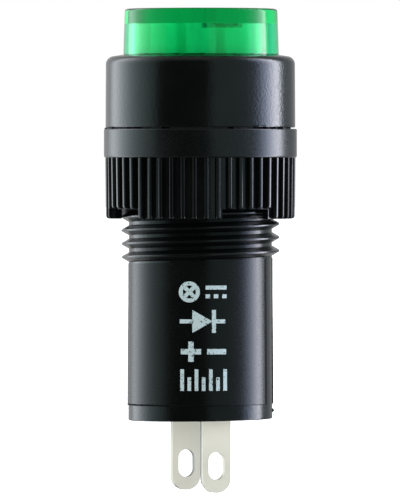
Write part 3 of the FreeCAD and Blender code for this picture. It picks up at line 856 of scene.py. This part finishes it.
class PILOT_OT_film(bpy.types.Operator):
    """Wraps the printed film round the plain barrel"""
    bl_idname = "pilot.film"
    bl_label = "Film"

    def execute(self, context):
        sizes, colours = settings(context.scene)
        film = film_sheet(sizes)
        end = sizes.film_begin + sizes.film_sweep
        settle(film, LIGHT, "printed_film", edged_film(colours.film, end))
        marks = film_print(film)
        coat(marks, pale_ink(colours.ink, colours.film))
        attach(marks, LIGHT)
        return {"FINISHED"}


# Squeezed-out bits of the gasket in the seam: azimuths in degrees and reach in millimetres
BURRS = (
    (158, 166, 6.95),
    (168, 176, 7.14),
    (176, 180.1, 7.03),
    (180.5, 186, 7.15),
    (187, 192, 7.05),
    (193, 203, 7.1),
    (204, 221, 7.03),
    (223, 226, 6.95),
    (232, 246, 7.02),
    (251, 287, 7.0),
    (289, 305, 7.0),
    (314, 318, 7.04),
    (322, 325, 7.0),
    (329, 334, 7.06),
    (339, 359, 6.75),
)


class PILOT_OT_gasket(bpy.types.Operator):
    """Models the rubber gasket with its slightly ragged edge"""
    bl_idname = "pilot.gasket"
    bl_label = "Gasket"

    def execute(self, context):
        sizes, colours = settings(context.scene)
        inside = sizes.thread_radius + 0.05 * MM
        ring = turned("rubber_gasket", [
            (inside, GASKET_FOOT),
            (GASKET_RADIUS, GASKET_FOOT),
            (GASKET_RADIUS, -NEAR),
            (GASKET_RADIUS, GASKET_TOP),
            (inside, GASKET_TOP),
        ])
        edit(ring)
        for begin, end, reach in BURRS:
            select(ring, lambda place: place.z < 0 and place.xy.length > inside + NEAR
                   and begin < math.degrees(math.atan2(place.y, place.x)) % 360 < end, "FACE")
            extrude()
            scale_round(reach * MM / GASKET_RADIUS)
        close_mesh(ring)
        settle(ring, GASKET, "panel_gasket",
               moulded_black("gasket_rubber", colours.rubber, (0.7, 0.9), 3000, 0.02 * MM))
        return {"FINISHED"}


def one_rib(sizes, foot):
    """One rib of the nut down to a height, with a rounded foot and softened edges."""
    outside = NUT_RADIUS - sizes.rib_inset
    half = sizes.rib_width / 2
    rib = block("rib", (sizes.groove_radius - 0.15 * MM, -half, foot),
                (outside, half, NUT_TOP - sizes.band_height + 0.1 * MM))
    edit(rib)
    select(rib, lambda place: place.x > outside - NEAR and place.z < foot + NEAR)
    bpy.ops.transform.translate(value=(-sizes.rib_draft, 0, 0))
    foot_round = 0.22 * MM
    bpy.ops.mesh.bevel(offset=foot_round, segments=4)
    low = outside - sizes.rib_draft - foot_round
    select(rib, lambda place: place.x > low - 2 * NEAR)
    bpy.ops.mesh.bevel(offset=0.07 * MM, segments=3)
    return close_mesh(rib)


def nut_ribs(sizes):
    """Ribs round the nut, copied from a long one and from a short one over the notches."""
    roof = NUT_FOOT + sizes.notch_depth
    long_rib = one_rib(sizes, NUT_FOOT)
    short_rib = one_rib(sizes, roof + NEAR)
    inside_notch = math.asin((sizes.notch_width - sizes.rib_width) / 2 / sizes.groove_radius)
    ribs = []
    for number in range(sizes.rib_count):
        azimuth = sizes.rib_turn + math.tau * number / sizes.rib_count
        off_notch = (azimuth - sizes.notch_turn + math.pi / 4) % (math.pi / 2) - math.pi / 4
        source = short_rib if abs(off_notch) < inside_notch else long_rib
        rib = copied(source, "rib")
        moved(rib, turned_by=azimuth)
        ribs.append(rib)
    for source in (long_rib, short_rib):
        bpy.data.objects.remove(source)
    return joined("ribs", ribs)


class PILOT_OT_nut(bpy.types.Operator):
    """Models the ring nut with its band, ribs and notches"""
    bl_idname = "pilot.nut"
    bl_label = "Knurled Nut"

    def execute(self, context):
        sizes, colours = settings(context.scene)
        band_foot = NUT_TOP - sizes.band_height
        ring = turned("nut_ring", [
            (sizes.nut_bore, NUT_TOP),
            (NUT_RADIUS, NUT_TOP),
            (NUT_RADIUS, band_foot),
            (sizes.groove_radius, band_foot),
            (sizes.groove_radius, NUT_FOOT),
            (sizes.nut_bore, NUT_FOOT),
        ])
        round_rings(ring, [(NUT_RADIUS, NUT_TOP)], 0.1 * MM)
        round_rings(ring, [(NUT_RADIUS, band_foot)], 0.16 * MM)
        round_rings(ring, [(sizes.groove_radius, NUT_FOOT), (sizes.nut_bore, NUT_FOOT)],
                    sizes.edge_round)
        nut = joined("ribbed_nut", [ring, nut_ribs(sizes)])
        half = sizes.notch_width / 2
        reach = 9 * MM
        roof = NUT_FOOT + sizes.notch_depth
        for side in range(2):
            bar = block("notch_bar", (-reach, -half, NUT_FOOT - MM), (reach, half, roof))
            moved(bar, turned_by=sizes.notch_turn + side * math.pi / 2)
            cut(nut, bar)
        smooth()
        settle(nut, NUT, "knurled_nut",
               moulded_black("nut_black", colours.nut, (0.11, 0.16), 5200, 0.003 * MM,
                             band_foot))
        return {"FINISHED"}


def eye_cutter(middle):
    """Round-ended cutter that smooths the eye in the middle of a tab."""
    cutter = start_piece(bpy.ops.mesh.primitive_cylinder_add, "eye_cutter", vertices=64,
                         radius=EYE_RADIUS, depth=MM, rotation=(math.pi / 2, 0, 0))
    for side in (1, -1):
        select(cutter, lambda place: place.z * side > NEAR)
        bpy.ops.transform.translate(value=(0, 0, side * EYE_STRETCH))
    moved(cutter, (middle.x, middle.y, EYE_HEIGHT), turned_by=TAB_TURN)
    return cutter


class PILOT_OT_rear(bpy.types.Operator):
    """Finishes the plug and the solder tabs"""
    bl_idname = "pilot.rear"
    bl_label = "Plug And Tabs"

    def execute(self, context):
        colours = context.scene.pilot_light_colours
        plug = softened_copy("rear_plug", "snapped_plug", 0.05 * MM)
        settle(plug, LIGHT, "rear_plug",
               moulded_black("plug_black", colours.moulding, (0.35, 0.45), 5200, 0.006 * MM))
        facing = Vector((math.sin(TAB_TURN), -math.cos(TAB_TURN), 0))
        # Per tab: its name, which side of the axis it stands on, the depth behind which its
        # sheared edges are painted as shadow, and how dark that painted shadow (edge) and its
        # eye's walls (eye) are.
        for side, away, depth, edge, eye in (("front", 1, 2.97 * MM, 0.06, 0.9),
                                             ("rear", -1, -2.98 * MM, 0.6, 0.25)):
            tab = softened_copy(f"{side}_terminal", f"{side}_tab")
            edit(tab)
            low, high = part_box(f"{side}_terminal")
            bpy.ops.transform.resize(value=(TAB_STRETCH, 1, 1), center_override=(low + high) / 2)
            cut(tab, eye_cutter(away * TAB_MIDDLE * facing))
            smooth()
            settle(tab, LIGHT, f"{side}_terminal",
                   tinned(f"tin_plating_{side}", colours.tin, facing, depth, edge, eye))
        return {"FINISHED"}


# Finishes of the hidden nodes: name, colour, roughness, metallic, transmission and nodes
HIDDEN = (
    ("holder_white", (0.72, 0.72, 0.66), 0.5, 0, 0, ("led_holder",)),
    ("lamp_epoxy", (0.55, 0.88, 0.66), 0.1, 0, 0.8, ("led_body",)),
    ("lead_metal", (0.72, 0.71, 0.68), 0.35, 1, 0,
     ("anode_lead", "cathode_lead", "resistor_upper_lead", "resistor_lower_lead")),
    ("resistor_lacquer", (0.74, 0.6, 0.4), 0.45, 0, 0, ("resistor_body",)),
    ("wire_sleeve", (0.02, 0.02, 0.02), 0.45, 0, 0, ("return_wire",)),
    ("solder_metal", (0.6, 0.6, 0.6), 0.3, 1, 0,
     ("anode_solder", "cathode_solder", "front_lug_solder", "rear_lug_solder")),
)


class PILOT_OT_inside(bpy.types.Operator):
    """Gives the hidden pieces their finishes"""
    bl_idname = "pilot.inside"
    bl_label = "Hidden Pieces"

    def execute(self, context):
        for name, base, roughness, metallic, transmission, nodes in HIDDEN:
            finish = plain_finish(name, base, roughness, metallic, transmission)
            for node in nodes:
                coat(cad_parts[node], finish)
        return {"FINISHED"}


# Camera and lights, as they stand round the light: 0 degrees is the viewer, + is to the right
CAMERA_DISTANCE = 600 * MM
CAMERA_HEIGHT = -1.68 * MM
CAMERA_ASIDE = -0.03 * MM
CAMERA_DIP = math.radians(0.7126)
PIXELS_PER_MM = 13.4
IMAGE_WIDTH = 400
SENSOR_WIDTH = 36
SOFTBOX_SIDE = 0.7
SOFTBOX_DISTANCE = 0.75
FLOOR_GLOW = 0.75


def add_camera():
    """Camera level with the light, far off, as in the photograph."""
    data = bpy.data.cameras.new("camera")
    data.sensor_fit = "HORIZONTAL"
    data.sensor_width = SENSOR_WIDTH
    data.lens = SENSOR_WIDTH * PIXELS_PER_MM * CAMERA_DISTANCE / MM / IMAGE_WIDTH
    data.clip_start = 10 * MM
    data.clip_end = 20
    camera = bpy.data.objects.new("camera", data)
    bpy.context.scene.collection.objects.link(camera)
    place = Matrix.Translation((CAMERA_ASIDE, -CAMERA_DISTANCE, CAMERA_HEIGHT))
    aim = Matrix.Rotation(math.pi / 2 - CAMERA_DIP, 4, "X")
    camera.matrix_world = place @ aim
    bpy.context.scene.camera = camera


def add_softbox(name, bearing, radiance, rise):
    """Square softbox at a bearing round the light, facing its middle, without a reflection."""
    data = bpy.data.lights.new(name, "AREA")
    data.size = SOFTBOX_SIDE
    data.energy = radiance * math.pi * SOFTBOX_SIDE ** 2
    lamp = bpy.data.objects.new(name, data)
    bpy.context.scene.collection.objects.link(lamp)
    turned_by = math.radians(bearing)
    lamp.location = (SOFTBOX_DISTANCE * math.sin(turned_by),
                     -SOFTBOX_DISTANCE * math.cos(turned_by), rise)
    target = Vector((0, 0, -8 * MM))
    lamp.rotation_euler = (target - lamp.location).to_track_quat("-Z", "Y").to_euler()
    lamp.visible_glossy = False


# Brightness in red, green and blue by bearing in degrees: 0 is the viewer, + is to the right
SURROUNDINGS = (
    (-180, 0.6, 0.6, 0.6),
    (-160, 0.7, 0.7, 0.7),
    (-142, 0.9, 0.95, 1.0),
    (-133, 3.0, 3.2, 3.4),
    (-124, 3.6, 3.9, 4.1),
    (-112, 2.8, 3.1, 3.3),
    (-102, 2.1, 2.4, 2.55),
    (-93, 1.45, 1.75, 1.85),
    (-85, 1.0, 1.27, 1.35),
    (-77, 0.75, 0.96, 1.0),
    (-69, 0.54, 0.7, 0.72),
    (-62, 0.38, 0.5, 0.5),
    (-56, 0.2, 0.25, 0.25),
    (-51, 0.03, 0.03, 0.03),
    (10, 0.012, 0.016, 0.014),
    (13, 0.16, 0.22, 0.21),
    (17, 0.22, 0.31, 0.3),
    (45, 0.22, 0.31, 0.31),
    (60, 0.26, 0.34, 0.38),
    (69, 0.34, 0.45, 0.55),
    (75, 0.8, 1.0, 1.4),
    (82, 2.0, 2.4, 3.3),
    (90, 3.6, 4.1, 5.4),
    (98, 6.9, 7.2, 8.6),
    (107, 9.2, 9.2, 10.2),
    (112, 8.2, 8.4, 9.4),
    (116, 0.6, 0.8, 0.9),
    (125, 0.35, 0.42, 0.45),
    (147, 0.4, 0.42, 0.43),
    (180, 0.6, 0.6, 0.6),
)
BRIGHTEST = 12.0
OVERHEAD = (0.28, 0.3, 0.28)
BELOW = (0.12, 0.12, 0.12)


def pale_world():
    """White where the camera looks, and the tent's brightness by bearing for all other rays."""
    world = bpy.data.worlds.new("studio")
    bpy.context.scene.world = world
    world.use_nodes = True
    studio = Nodes(world.node_tree)
    studio.tree.nodes.clear()
    direction = studio.add("ShaderNodeTexCoord").outputs["Generated"]
    across, away, up = studio.add("ShaderNodeSeparateXYZ", vector=direction).outputs
    bearing = studio.math("ARCTAN2", across, studio.math("MULTIPLY", away, -1))
    ramp = studio.add("ShaderNodeValToRGB", fac=studio.remap(bearing, -math.pi, math.pi))
    stops = ramp.color_ramp.elements
    while len(stops) > 1:
        stops.remove(stops[0])
    stops[0].position = 1
    for angle, *level in SURROUNDINGS[:-1]:
        stops.new(0.5 + angle / 360)
    for stop, (angle, *level) in zip(stops, SURROUNDINGS):
        stop.color = (*shaded(level, 1 / BRIGHTEST), 1)
    tent_colour = ramp.outputs["Color"]
    for start, end, level in ((0.5, 0.95, OVERHEAD), (-0.4, -0.8, BELOW)):
        covered = studio.remap(up, start, end)
        covered.node.interpolation_type = "SMOOTHSTEP"
        tent_colour = studio.blend(covered, tent_colour, shaded(level, 1 / BRIGHTEST))
    tent = studio.add("ShaderNodeBackground", color=tent_colour, strength=BRIGHTEST)
    white = studio.add("ShaderNodeBackground", color=1)
    rays = studio.add("ShaderNodeLightPath").outputs
    through = studio.every(rays["Is Transmission Ray"], studio.remap(away, 0.75, 0.85, 0.55))
    seen = studio.math("MAXIMUM", rays["Is Camera Ray"], through)
    mix = studio.add("ShaderNodeMixShader", fac=seen)
    studio.link(tent.outputs["Background"], mix.inputs[1])
    studio.link(white.outputs["Background"], mix.inputs[2])
    output = studio.add("ShaderNodeOutputWorld")
    studio.link(mix.outputs["Shader"], output.inputs["Surface"])


def pale_floor(base):
    """Floor finish that reads as white to the camera and keeps the shadow."""
    finish = Finish("pale_floor")
    finish.set(Base_Color=finish.blend(finish.noise(30, 2), shaded(base, 0.99), base),
               Roughness=0.9)
    seen = finish.add("ShaderNodeLightPath").outputs["Is Camera Ray"]
    glow = finish.add("ShaderNodeEmission", color=1, strength=finish.every(seen, FLOOR_GLOW))
    both = finish.add("ShaderNodeAddShader")
    finish.link(finish.shader.outputs["BSDF"], both.inputs[0])
    finish.link(glow.outputs["Emission"], both.inputs[1])
    finish.link(both.outputs["Shader"], finish.output.inputs["Surface"])
    return finish.material


class PILOT_OT_stage(bpy.types.Operator):
    """Sets up the camera, the floor, the softboxes and the white surroundings"""
    bl_idname = "pilot.stage"
    bl_label = "Studio"

    def execute(self, context):
        colours = context.scene.pilot_light_colours
        add_camera()
        floor = start_piece(bpy.ops.mesh.primitive_plane_add, "floor", size=6,
                            location=(0, 0, TAB_TIP - 0.1 * MM))
        bpy.ops.object.mode_set(mode="OBJECT")
        floor.data.materials.append(pale_floor(colours.floor))
        for flag in ("visible_diffuse", "visible_glossy", "visible_transmission",
                     "visible_shadow"):
            setattr(floor, flag, False)
        for name, bearing, radiance, rise in (("left_fill", -65, 1.9, 0.05),
                                              ("right_fill", 65, 1.5, 0.05),
                                              ("front_fill", 0, 1.8, -0.1)):
            add_softbox(name, bearing, radiance, rise)
        pale_world()
        context.scene.view_settings.view_transform = "Standard"
        return {"FINISHED"}


class PILOT_PT_sidebar(bpy.types.Panel):
    """Sidebar with the sizes, the colours and the steps"""
    bl_idname = "PILOT_PT_sidebar"
    bl_label = "Pilot Light"
    bl_space_type = "VIEW_3D"
    bl_region_type = "UI"
    bl_category = "Pilot Light"

    def draw(self, context):
        for group in settings(context.scene):
            column = self.layout.column(align=True)
            for name in group.__annotations__:
                column.prop(group, name)
        for step in STEPS:
            self.layout.operator(step.bl_idname)


GROUPS = (PilotLightSizes, PilotLightColours)
STEPS = (
    PILOT_OT_housing,
    PILOT_OT_lens,
    PILOT_OT_diffuser,
    PILOT_OT_film,
    PILOT_OT_gasket,
    PILOT_OT_nut,
    PILOT_OT_rear,
    PILOT_OT_inside,
    PILOT_OT_stage,
)


def register():
    """Registers the groups, the steps and the sidebar."""
    for item in (*GROUPS, *STEPS, PILOT_PT_sidebar):
        bpy.utils.register_class(item)
    bpy.types.Scene.pilot_light_sizes = bpy.props.PointerProperty(type=PilotLightSizes)
    bpy.types.Scene.pilot_light_colours = bpy.props.PointerProperty(type=PilotLightColours)


def unregister():
    """Takes back what register did."""
    del bpy.types.Scene.pilot_light_colours
    del bpy.types.Scene.pilot_light_sizes
    for item in reversed((*GROUPS, *STEPS, PILOT_PT_sidebar)):
        bpy.utils.unregister_class(item)


def main():
    register()
    for step in STEPS:
        group, name = step.bl_idname.split(".")
        result = getattr(getattr(bpy.ops, group), name)()
        if result != {"FINISHED"}:
            raise RuntimeError(f"{step.bl_label} didn't finish")


if __name__ == "__main__":
    main()
